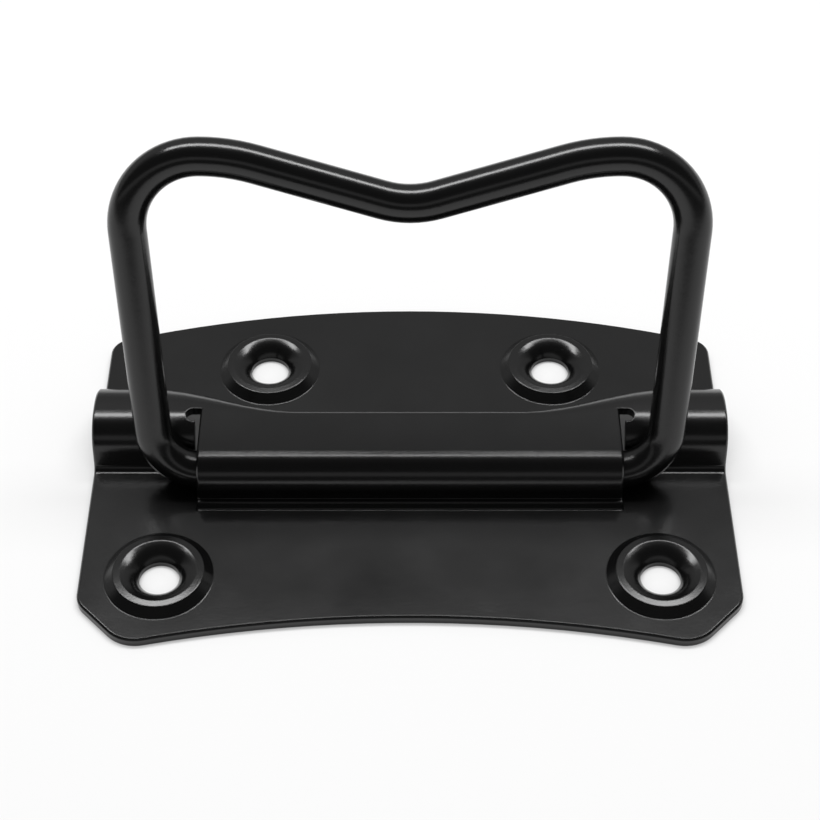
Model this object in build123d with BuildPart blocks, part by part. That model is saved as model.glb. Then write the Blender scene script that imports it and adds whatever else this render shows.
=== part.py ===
"""Folding chest handle: one pressed steel plate and one bent rod bail.

Frame: millimetres, +Z up off the mounting face, X along the hinge, the bail folding
down towards -Y. The origin is the middle of the mounting face.
"""
from build123d import *
from math import cos, radians, sin, sqrt, tan
import os

# Sheet and plan outline
sheet = 1.5
plate_half_width = 52.05
front_mid_y = -32.03
front_edge_radius = 197.0
front_corner_x = 44.3
side_corner_y = -29.0
front_corner_round = 6.0
side_corner_round = 4.0
rear_mid_y = 36.49
rear_edge_radius = 174.0
rear_corner_round = 3.5
rim_edge = 0.3

# Rod and bail, measured along the rod's centreline in the bail's own plane
rod_radius = 3.0
bail_reach = 53.57
arm_half = 41.42
arm_splay = 3.3
foot_bend = 7.74
shoulder_bend = 11.4
bar_bend = 30.0
bar_slope = 16.5
vee_bend = 15.0
leg_length = 16.0
rod_end_chamfer = 0.5
rest_lean = 20.0

# Barrel that wraps the rod's inward legs
pivot_y = -4.4
rod_clearance = 0.15
rod_lift = 0.25
barrel_half = 34.4
foot_round = 1.2
foot_step_height = 1.35
foot_step_reach = 0.75
foot_step_round = 0.35

# Raised bead behind the barrel, swinging back to the two ears
barrel_rear_y = 3.21
barrel_rear_round = 2.2
barrel_rear_slope = 60.0
ear_rear_y = 5.94
ear_rear_round = 8.0
ear_rear_slope = 50.0
rear_foot_round = 2.0
swing_start_x = 19.0
swing_end_x = 43.0
swing_steps = 8

# Ear fronts that stop the bail, and the slits that free them from the barrel
ear_dome_round = 5.5
ear_face_lean = 12.0
ear_rod_gap = 0.25
slit_width = 0.8
shear_width = 0.12
slit_relief_radius = 1.2
barrel_end_edge = 0.35

# Dished screw seats
front_seat_x = 39.5
front_seat_y = -23.9
rear_seat_x = 24.2
rear_seat_y = 21.9
screw_hole_radius = 3.2
seat_foot_radius = 8.65
seat_crest_outer = 7.15
seat_crest_inner = 6.05
seat_crest_drop = 0.12
seat_height = 1.45
seat_dish_start = 12.0
seat_dish_end = 62.0
seat_margin = 0.6

# Worked out from the values above
pivot_z = sheet + rod_lift + rod_radius
barrel_bore = rod_radius + rod_clearance
barrel_outer = barrel_bore + sheet
bead_top = pivot_z + barrel_outer
lean = radians(rest_lean)
face = radians(ear_face_lean)
dome_z = bead_top - ear_dome_round
dome_stand_off = (ear_dome_round + rod_radius + ear_rod_gap) / cos(lean)
dome_y = pivot_y + dome_stand_off + (dome_z - pivot_z) * tan(lean)
slit_rear_y = dome_y + 0.3
blank_half_x = plate_half_width + 6.0
blank_front_y = front_mid_y - 12.0
blank_rear_y = rear_mid_y + 6.0
blank_low_z = -6.0


def swing(x):
    """Share of the way from the barrel's rear wall to the ear's, level at both ends."""
    share = (abs(x) - swing_start_x) / (swing_end_x - swing_start_x)
    share = min(max(share, 0.0), 1.0)
    return share * share * (3.0 - 2.0 * share)


def rear_wall(x):
    """Crest position, crest round, slope in degrees and foot position at station x."""
    share = swing(x)
    crest_y = barrel_rear_y + (ear_rear_y - barrel_rear_y) * share
    crest_round = barrel_rear_round + (ear_rear_round - barrel_rear_round) * share
    slope = barrel_rear_slope + (ear_rear_slope - barrel_rear_slope) * share
    turn = radians(slope)
    rounds = crest_round + rear_foot_round
    rise = bead_top - sheet - rounds * (1.0 - cos(turn))
    foot_y = crest_y + rounds * sin(turn) + rise / tan(turn)
    return crest_y, crest_round, slope, foot_y


band_rear_y = rear_wall(swing_end_x)[3] + 1.0


def rear_skin(x, inset, front_y):
    """One skin of the bead's rear: level top, crest, wall, foot and flat."""
    crest_y, crest_round, slope, foot_y = rear_wall(x)
    level = Line((front_y, bead_top - inset), (crest_y, bead_top - inset))
    crest = CenterArc((crest_y, bead_top - crest_round), crest_round - inset, 90, -slope)
    foot = CenterArc(
        (foot_y, sheet + rear_foot_round), rear_foot_round + inset, 270 - slope, slope
    )
    Line(crest @ 1, foot @ 0)
    flat = Line(foot @ 1, (band_rear_y, sheet - inset))
    return level @ 0, flat @ 1


def barrel_skin(inset):
    """One skin of the flat front and of the barrel's quarter turn over the rod."""
    flat = Line((blank_front_y, sheet - inset), (pivot_y - barrel_outer - foot_round, sheet - inset))
    foot = CenterArc(
        (pivot_y - barrel_outer - foot_round, sheet + foot_round), foot_round + inset, 270, 90
    )
    turn = CenterArc((pivot_y, pivot_z), barrel_outer - inset, 180, -90)
    Line(foot @ 1, turn @ 0)
    return flat @ 0, turn @ 1


def barrel_top_skin():
    """The barrel's upper skin: the flat steps up to a narrow ledge before the barrel's wall."""
    wall_y = pivot_y - barrel_outer
    step_z = sheet + foot_step_height
    front = FilletPolyline(
        (blank_front_y, sheet),
        (wall_y - foot_step_reach - foot_step_round, sheet),
        (wall_y - foot_step_reach, step_z),
        (wall_y, step_z),
        radius=foot_step_round,
    )
    turn = CenterArc((pivot_y, pivot_z), barrel_outer, 180, -90)
    Line(front @ 1, turn @ 0)
    return front @ 0, turn @ 1


def ear_skin(inset):
    """One skin of the flat front, the ear's leaning face and its dome."""
    foot_z = sheet + foot_round
    reach = ear_dome_round + foot_round - sin(face) * (foot_z - dome_z)
    foot_y = dome_y - reach / cos(face)
    flat = Line((blank_front_y, sheet - inset), (foot_y, sheet - inset))
    foot = CenterArc((foot_y, foot_z), foot_round + inset, 270, 90 - ear_face_lean)
    dome = CenterArc((dome_y, dome_z), ear_dome_round - inset, 180 - ear_face_lean, ear_face_lean - 90)
    Line(foot @ 1, dome @ 0)
    return flat @ 0, dome @ 1


def close_strip(top, low):
    """Join the two skins at both ends."""
    Line(top[0], low[0])
    Line(top[1], low[1])


# One half of the pressed form, on an oversize blank
with BuildPart() as half_form:
    # Rear of the bead: straight behind the barrel, swinging back, straight at the ear
    with BuildSketch(Plane.YZ):
        with BuildLine():
            close_strip(rear_skin(0.0, 0.0, pivot_y), rear_skin(0.0, sheet, pivot_y))
        make_face()
    extrude(amount=swing_start_x)
    with BuildPart(mode=Mode.PRIVATE) as swing_form:
        for step in range(swing_steps + 1):
            station = swing_start_x + step / swing_steps * (swing_end_x - swing_start_x)
            with BuildSketch(Plane.YZ.offset(station)):
                with BuildLine():
                    close_strip(
                        rear_skin(station, 0.0, pivot_y), rear_skin(station, sheet, pivot_y)
                    )
                make_face()
        loft(ruled=True)
    add(swing_form.part)
    with BuildSketch(Plane.YZ.offset(swing_end_x)):
        with BuildLine():
            close_strip(
                rear_skin(swing_end_x, 0.0, pivot_y), rear_skin(swing_end_x, sheet, pivot_y)
            )
        make_face()
    extrude(amount=blank_half_x - swing_end_x)
    # Ear: its own front replaces the plateau in front of the dome
    with Locations((barrel_half, dome_y, blank_low_z)):
        Box(
            2 * blank_half_x,
            100,
            60,
            align=(Align.MIN, Align.MAX, Align.MIN),
            mode=Mode.SUBTRACT,
        )
    with BuildSketch(Plane.YZ.offset(barrel_half)):
        with BuildLine():
            close_strip(ear_skin(0.0), ear_skin(sheet))
        make_face()
    extrude(amount=blank_half_x - barrel_half)
    # Barrel
    with BuildSketch(Plane.YZ):
        with BuildLine():
            close_strip(barrel_top_skin(), barrel_skin(sheet))
        make_face()
    extrude(amount=barrel_half)
    # Flat behind the bead
    with Locations((0, band_rear_y, 0)):
        Box(
            blank_half_x,
            blank_rear_y - band_rear_y,
            sheet,
            align=(Align.MIN, Align.MIN, Align.MIN),
        )
    # Slit between the barrel's end and the ear
    slit_front_y = dome_y - ear_dome_round - 2 * foot_round
    with Locations((barrel_half, slit_front_y, blank_low_z)):
        Box(
            slit_width,
            slit_rear_y - slit_front_y,
            60,
            align=(Align.MIN, Align.MIN, Align.MIN),
            mode=Mode.SUBTRACT,
        )
    # Round relief at the slit's rear end, and the shear line in front down to the foot
    with Locations((barrel_half + slit_relief_radius, slit_rear_y - slit_relief_radius, 0)):
        Cylinder(slit_relief_radius, 60, mode=Mode.SUBTRACT)
    shear_front_y = pivot_y - barrel_outer - foot_round - shear_width
    with Locations((barrel_half, shear_front_y, blank_low_z)):
        Box(
            shear_width,
            slit_front_y - shear_front_y + shear_width,
            60,
            align=(Align.MIN, Align.MIN, Align.MIN),
            mode=Mode.SUBTRACT,
        )


# A pressed screw seat: ring crest, a dish that turns down to the hole, hollow under
dish_start = radians(seat_dish_start)
dish_end = radians(seat_dish_end)
dish_round = (seat_crest_inner - screw_hole_radius) / (sin(dish_end) - sin(dish_start))
crest_z = sheet + seat_height
hole_rim_z = crest_z - dish_round * (cos(dish_start) - cos(dish_end))
with BuildPart() as screw_seat:
    with BuildSketch(Plane.XZ):
        with BuildLine():
            dish = ThreePointArc(
                (screw_hole_radius, hole_rim_z),
                (
                    seat_crest_inner - dish_round * (sin((dish_start + dish_end) / 2) - sin(dish_start)),
                    crest_z - dish_round * (cos(dish_start) - cos((dish_start + dish_end) / 2)),
                ),
                (seat_crest_inner, crest_z),
            )
            Polyline(
                dish @ 1,
                (seat_crest_outer, crest_z - seat_crest_drop),
                (seat_foot_radius, sheet),
                (seat_foot_radius + seat_margin, sheet),
                (seat_foot_radius + seat_margin, 0),
                (seat_foot_radius, 0),
                ((seat_crest_outer + seat_crest_inner) / 2, seat_height),
                (screw_hole_radius, 0),
                dish @ 0,
            )
        make_face()
    revolve(axis=Axis.Z)

with BuildPart() as mounting_plate:
    add(half_form.part)
    mirror(half_form.part, about=Plane.YZ)
    # Plan outline of the blank
    front_corner_y = front_mid_y - front_edge_radius + sqrt(front_edge_radius**2 - front_corner_x**2)
    rear_corner_y = rear_mid_y - rear_edge_radius + sqrt(rear_edge_radius**2 - plate_half_width**2)
    with BuildSketch(Plane.XY.offset(-1)) as outline:
        with BuildLine():
            front_left = (-front_corner_x, front_corner_y)
            front_right = (front_corner_x, front_corner_y)
            rear_left = (-plate_half_width, rear_corner_y)
            rear_right = (plate_half_width, rear_corner_y)
            ThreePointArc(front_left, (0, front_mid_y), front_right)
            Polyline(front_right, (plate_half_width, side_corner_y), rear_right)
            ThreePointArc(rear_right, (0, rear_mid_y), rear_left)
            Polyline(rear_left, (-plate_half_width, side_corner_y), front_left)
        make_face()
        fillet(outline.vertices().group_by(Axis.Y)[0], front_corner_round)
        side_corners = outline.vertices().filter_by(
            lambda v: abs(v.Y - side_corner_y) < 0.01 and abs(v.X) > plate_half_width - 0.01
        )
        fillet(side_corners, side_corner_round)
        rear_corners = outline.vertices().filter_by(lambda v: abs(v.Y - rear_corner_y) < 0.01)
        fillet(rear_corners, rear_corner_round)
    extrude(amount=bead_top + 2, mode=Mode.INTERSECT)
    # Eased rim all round the upper skin, over the ears' open ends too
    rim_edges = ShapeList()
    for skin in mounting_plate.faces().filter_by(lambda f: f.normal_at().Z > 0.05):
        for edge in skin.edges():
            middle = edge @ 0.5
            at_side = abs(middle.X) > plate_half_width - 0.01
            at_front = middle.Y < side_corner_y + 1
            at_rear = middle.Y > rear_corner_y - rear_corner_round
            if at_side or at_front or at_rear:
                rim_edges.append(edge)
    chamfer(rim_edges, rim_edge)
    # Eased ends of the barrel, from the slit's relief round to the foot
    end_edges = ShapeList()
    for end_face in mounting_plate.faces().filter_by(Axis.X):
        if abs(abs(end_face.center().X) - barrel_half) > 0.01:
            continue
        for edge in end_face.edges():
            middle = edge @ 0.5
            reach = Vector(0, min(middle.Y - pivot_y, 0), middle.Z - pivot_z).length
            on_top = middle.Z > bead_top - 0.01
            on_wall = middle.Z > sheet + foot_step_height and reach > barrel_outer - 0.01
            if on_top or on_wall:
                end_edges.append(edge)
    chamfer(end_edges, barrel_end_edge)
    # Four pressed screw seats
    with GridLocations(2 * front_seat_x, 0, 2, 1) as front_row:
        front_spots = [spot.position + Vector(0, front_seat_y, 0) for spot in front_row.locations]
    with GridLocations(2 * rear_seat_x, 0, 2, 1) as rear_row:
        rear_spots = [spot.position + Vector(0, rear_seat_y, 0) for spot in rear_row.locations]
    with Locations(*front_spots, *rear_spots):
        Cylinder(seat_foot_radius + seat_margin, 4 * sheet, mode=Mode.SUBTRACT)
        add(screw_seat.part)

# Bail centreline: one half from the middle of the grip to the rod's end
splay = radians(arm_splay)
tilt = radians(bar_slope)
foot_x = arm_half - foot_bend * cos(splay)
shoulder_s = bail_reach - shoulder_bend
arm_low_s = foot_bend * (1 - sin(splay))
arm_high_s = shoulder_s - shoulder_bend * sin(splay)
arm_high_half = arm_half + (arm_high_s - arm_low_s) * tan(splay)
shoulder_x = arm_high_half - shoulder_bend * cos(splay)
bar_low_x = shoulder_x - bar_bend * sin(tilt)
bar_low_s = bail_reach - bar_bend * (1 - cos(tilt))
vee_high_x = vee_bend * sin(tilt)
vee_high_s = bar_low_s - (bar_low_x - vee_high_x) * tan(tilt)
vee_centre_s = vee_high_s + vee_bend * cos(tilt)
leg_end_x = barrel_half - leg_length

with BuildPart() as bail_handle:
    bail_plane = Plane(
        origin=(0, pivot_y, pivot_z),
        x_dir=(1, 0, 0),
        z_dir=(0, -cos(lean), sin(lean)),
    )
    with BuildLine(bail_plane) as rod_line:
        vee = CenterArc((0, vee_centre_s), vee_bend, 270, bar_slope)
        bar = CenterArc((shoulder_x, bail_reach - bar_bend), bar_bend, 90 + bar_slope, -bar_slope)
        Line(vee @ 1, bar @ 0)
        shoulder = CenterArc((shoulder_x, shoulder_s), shoulder_bend, 90, -90 - arm_splay)
        foot = CenterArc((foot_x, foot_bend), foot_bend, -arm_splay, arm_splay - 90)
        Line(shoulder @ 1, foot @ 0)
        Line(foot @ 1, (leg_end_x, 0))
        mirror(about=Plane.YZ)
    rod_path = rod_line.wire()
    with BuildSketch(Plane(origin=rod_path @ 0, z_dir=rod_path % 0)):
        Circle(rod_radius)
    sweep(path=rod_path)
    rod_ends = bail_handle.faces().filter_by(
        lambda f: abs(abs(f.center().X) - leg_end_x) < 0.01
    )
    chamfer(rod_ends.edges(), rod_end_chamfer)

mounting_plate.part.label = "mounting_plate"
bail_handle.part.label = "bail_handle"

os.makedirs("parts", exist_ok=True)
export_step(mounting_plate.part, "parts/mounting_plate.step")
export_step(bail_handle.part, "parts/bail_handle.step")
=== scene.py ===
import bpy
from math import cos, pi, radians, sin
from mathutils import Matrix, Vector

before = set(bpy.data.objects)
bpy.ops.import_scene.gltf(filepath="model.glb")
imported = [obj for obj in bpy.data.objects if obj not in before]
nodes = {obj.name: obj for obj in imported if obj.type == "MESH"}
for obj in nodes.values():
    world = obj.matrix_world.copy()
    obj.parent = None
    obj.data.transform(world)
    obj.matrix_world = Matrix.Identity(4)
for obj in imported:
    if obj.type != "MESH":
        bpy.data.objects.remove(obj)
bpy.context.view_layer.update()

# Camera: looks down at the plate from the side that the bail folds to
AIM = Vector((0.0, 0.0120, 0.0015))
CAMERA_PITCH = radians(46.56)
CAMERA_DISTANCE = 0.3392
CAMERA_CLIP = 0.01
LENS_MM = 87.8
SENSOR_MM = 36.0

# Powder coat: tone and its patches
COAT_TONE = 0.003
DARK_PATCH = 0.85
PALE_PATCH = 1.15
BLUE_CAST = 0.02
PATCH_SCALE = 45.0
PATCH_LOW = 0.3
PATCH_HIGH = 0.7

# Powder coat: gloss
COAT_IOR = 1.5
COAT_ROUGHNESS = 0.2
GLOSSY_PATCH = 0.18
DULL_PATCH = 0.23

# Powder coat: edges and grain
EDGE_ROUND = 0.0003
EDGE_SAMPLES = 8
WAVE_SCALE = 420.0
WAVE_STRENGTH = 0.10
WAVE_DEPTH = 0.0001
PEEL_SCALE = 2400.0
PEEL_STRENGTH = 0.25
PEEL_DEPTH = 0.00003

# Floor: its glow is dimmed by ambient occlusion near and under the part, a painted contact
# shadow and painted shade
FLOOR_SIZE = 4.0
FLOOR_DROP = 0.00005
FLOOR_TONE = 0.36
FLOOR_GLOW = 0.50
# Painted shade: how far ambient occlusion looks, and the range over which it dims the glow
SHADE_REACH = 0.012
SHADE_FROM = 0.1
SHADE_TO = 0.75

# Softbox: its angle is measured over the part from the front horizon
SOFTBOX_DEGREES = 111.0
SOFTBOX_DISTANCE = 0.8
SOFTBOX_LENGTH = 1.0
SOFTBOX_WIDTH = 0.17
SOFTBOX_WATTS = 6.8

# Room: (degrees over the part from the front horizon, strength)
HALF_TURN = 180.0
SKY_GLOW = 0.6
WHITE = (1.0, 1.0, 1.0, 1.0)
ROOM_GLOW = (
    (0.0, 0.05),
    (19.0, 0.06),
    (23.0, 0.45),
    (33.0, 0.45),
    (38.0, 0.05),
    (95.0, 0.05),
    (117.0, 0.24),
    (126.0, 0.30),
    (132.0, 0.37),
    (138.0, 0.45),
    (148.0, 0.40),
    (155.0, 0.32),
    (180.0, 0.30),
)


def new_material(name):
    """An empty node material and its tree."""
    material = bpy.data.materials.new(name)
    material.use_nodes = True
    tree = material.node_tree
    tree.nodes.clear()
    return material, tree


def add_node(tree, kind, **inputs):
    """A shader node with some of its sockets set; spaces in socket names are underscores."""
    node = tree.nodes.new(kind)
    for key, value in inputs.items():
        node.inputs[key.replace("_", " ")].default_value = value
    return node


def patch_colour(tone, share):
    """The coat's tone at one end of its patches, a touch towards blue."""
    return (share * tone, share * tone, (share + BLUE_CAST) * tone, 1.0)


def powder_coat(name, tone):
    """Satin black powder coat: orange peel over slow waves, eased edges, and patches that
    differ a little in tone and gloss."""
    material, tree = new_material(name)
    link = tree.links.new
    where = tree.nodes.new("ShaderNodeTexCoord")
    shader = add_node(
        tree, "ShaderNodeBsdfPrincipled", Roughness=COAT_ROUGHNESS, IOR=COAT_IOR
    )
    output = tree.nodes.new("ShaderNodeOutputMaterial")
    peel = add_node(
        tree, "ShaderNodeTexNoise", Scale=PEEL_SCALE, Detail=2.0, Roughness=0.55
    )
    waves = add_node(
        tree, "ShaderNodeTexNoise", Scale=WAVE_SCALE, Detail=2.0, Roughness=0.5
    )
    patches = add_node(
        tree, "ShaderNodeTexNoise", Scale=PATCH_SCALE, Detail=3.0, Roughness=0.6
    )
    for texture in (peel, waves, patches):
        link(where.outputs["Object"], texture.inputs["Vector"])
    tint = tree.nodes.new("ShaderNodeMix")
    tint.data_type = "RGBA"
    tint.inputs["A"].default_value = patch_colour(tone, DARK_PATCH)
    tint.inputs["B"].default_value = patch_colour(tone, PALE_PATCH)
    link(patches.outputs["Fac"], tint.inputs["Factor"])
    link(tint.outputs["Result"], shader.inputs["Base Color"])
    gloss = add_node(
        tree,
        "ShaderNodeMapRange",
        From_Min=PATCH_LOW,
        From_Max=PATCH_HIGH,
        To_Min=GLOSSY_PATCH,
        To_Max=DULL_PATCH,
    )
    link(patches.outputs["Fac"], gloss.inputs["Value"])
    link(gloss.outputs["Result"], shader.inputs["Roughness"])
    eased = add_node(tree, "ShaderNodeBevel", Radius=EDGE_ROUND)
    eased.samples = EDGE_SAMPLES
    coarse = add_node(
        tree, "ShaderNodeBump", Strength=WAVE_STRENGTH, Distance=WAVE_DEPTH
    )
    fine = add_node(
        tree, "ShaderNodeBump", Strength=PEEL_STRENGTH, Distance=PEEL_DEPTH
    )
    link(eased.outputs["Normal"], coarse.inputs["Normal"])
    link(waves.outputs["Fac"], coarse.inputs["Height"])
    link(peel.outputs["Fac"], fine.inputs["Height"])
    link(coarse.outputs["Normal"], fine.inputs["Normal"])
    link(fine.outputs["Normal"], shader.inputs["Normal"])
    link(shader.outputs["BSDF"], output.inputs["Surface"])
    return material


def floor_white(name, tone, glow):
    """A pale floor: a plain diffuse tone that keeps shadows, lifted towards white by a glow
    that ambient occlusion dims near and under the part, a painted contact shadow and painted
    shade."""
    material, tree = new_material(name)
    link = tree.links.new
    shader = add_node(tree, "ShaderNodeBsdfDiffuse")
    shader.inputs["Color"].default_value = (tone, tone, tone, 1.0)
    light = add_node(tree, "ShaderNodeEmission", Strength=glow)
    # Painted contact shadow and painted shade: ambient occlusion dims the glow near and
    # under the part
    painted_shade_occlusion = add_node(tree, "ShaderNodeAmbientOcclusion", Distance=SHADE_REACH)
    painted_shade_glow = add_node(
        tree,
        "ShaderNodeMapRange",
        From_Min=SHADE_FROM,
        From_Max=SHADE_TO,
        To_Min=0.0,
        To_Max=glow,
    )
    both = tree.nodes.new("ShaderNodeAddShader")
    output = tree.nodes.new("ShaderNodeOutputMaterial")
    link(painted_shade_occlusion.outputs["AO"], painted_shade_glow.inputs["Value"])
    link(painted_shade_glow.outputs["Result"], light.inputs["Strength"])
    link(shader.outputs["BSDF"], both.inputs[0])
    link(light.outputs["Emission"], both.inputs[1])
    link(both.outputs["Shader"], output.inputs["Surface"])
    return material


def studio_world(stops):
    """A dark room with a low glow in front and a soft one behind and above, given as
    (degrees over the part from the front horizon, strength) stops. Matt surfaces get an
    even sky, and the camera itself sees plain white."""
    world = bpy.data.worlds.new("studio")
    world.use_nodes = True
    tree = world.node_tree
    tree.nodes.clear()
    link = tree.links.new
    where = tree.nodes.new("ShaderNodeTexCoord")
    split = tree.nodes.new("ShaderNodeSeparateXYZ")
    front = tree.nodes.new("ShaderNodeMath")
    front.operation = "MULTIPLY"
    front.inputs[1].default_value = -1.0
    angle = tree.nodes.new("ShaderNodeMath")
    angle.operation = "ARCTAN2"
    share = tree.nodes.new("ShaderNodeMath")
    share.operation = "DIVIDE"
    share.inputs[1].default_value = pi
    ramp = tree.nodes.new("ShaderNodeValToRGB")
    link(where.outputs["Generated"], split.inputs["Vector"])
    link(split.outputs["Y"], front.inputs[0])
    link(split.outputs["Z"], angle.inputs[0])
    link(front.outputs["Value"], angle.inputs[1])
    link(angle.outputs["Value"], share.inputs[0])
    link(share.outputs["Value"], ramp.inputs["Fac"])
    elements = ramp.color_ramp.elements
    while len(elements) > 1:
        elements.remove(elements[-1])
    for index, (degrees, strength) in enumerate(stops):
        place = degrees / HALF_TURN
        stop = elements[0] if index == 0 else elements.new(place)
        stop.position = place
        stop.color = (strength, strength, strength, 1.0)
    room = add_node(tree, "ShaderNodeBackground", Strength=1.0)
    white = add_node(tree, "ShaderNodeBackground", Color=WHITE, Strength=1.0)
    sky = add_node(tree, "ShaderNodeBackground", Color=WHITE, Strength=SKY_GLOW)
    ray = tree.nodes.new("ShaderNodeLightPath")
    soft = tree.nodes.new("ShaderNodeMixShader")
    seen = tree.nodes.new("ShaderNodeMixShader")
    output = tree.nodes.new("ShaderNodeOutputWorld")
    link(ramp.outputs["Color"], room.inputs["Color"])
    link(ray.outputs["Is Diffuse Ray"], soft.inputs["Fac"])
    link(room.outputs["Background"], soft.inputs[1])
    link(sky.outputs["Background"], soft.inputs[2])
    link(ray.outputs["Is Camera Ray"], seen.inputs["Fac"])
    link(soft.outputs["Shader"], seen.inputs[1])
    link(white.outputs["Background"], seen.inputs[2])
    link(seen.outputs["Shader"], output.inputs["Surface"])
    bpy.context.scene.world = world


def lamp(name, place, aim, size_x, size_y, watts):
    """A softbox: a rectangular area lamp at place, facing aim."""
    data = bpy.data.lights.new(name, "AREA")
    data.shape = "RECTANGLE"
    data.size = size_x
    data.size_y = size_y
    data.energy = watts
    lamp_object = bpy.data.objects.new(name, data)
    bpy.context.scene.collection.objects.link(lamp_object)
    lamp_object.location = place
    facing = Vector(aim) - Vector(place)
    lamp_object.rotation_euler = facing.to_track_quat("-Z", "Y").to_euler()


# Materials on the CAD nodes
coats = {
    "mounting_plate": powder_coat("plate_powder_coat", COAT_TONE),
    "bail_handle": powder_coat("bail_powder_coat", COAT_TONE),
}
for node_name, coat in coats.items():
    mesh = nodes[node_name].data
    mesh.materials.clear()
    mesh.materials.append(coat)

# Floor
bpy.ops.mesh.primitive_plane_add(size=FLOOR_SIZE, location=(0, 0, -FLOOR_DROP))
floor = bpy.context.object
floor.name = "floor"
floor.data.materials.append(floor_white("floor_white", FLOOR_TONE, FLOOR_GLOW))

# World and softbox
studio_world(ROOM_GLOW)
softbox_angle = radians(SOFTBOX_DEGREES)
softbox_place = Vector((0.0, -cos(softbox_angle), sin(softbox_angle))) * SOFTBOX_DISTANCE
lamp(
    "overhead_softbox",
    softbox_place,
    (0.0, 0.0, 0.0),
    SOFTBOX_LENGTH,
    SOFTBOX_WIDTH,
    SOFTBOX_WATTS,
)

# Camera
camera_data = bpy.data.cameras.new("camera")
camera_data.lens = LENS_MM
camera_data.sensor_width = SENSOR_MM
camera_data.clip_start = CAMERA_CLIP
camera = bpy.data.objects.new("camera", camera_data)
bpy.context.scene.collection.objects.link(camera)
back = Vector((0.0, -cos(CAMERA_PITCH), sin(CAMERA_PITCH)))
camera.location = AIM + CAMERA_DISTANCE * back
camera.rotation_euler = (-back).to_track_quat("-Z", "Y").to_euler()
bpy.context.scene.camera = camera
bpy.context.scene.view_settings.view_transform = "Standard"
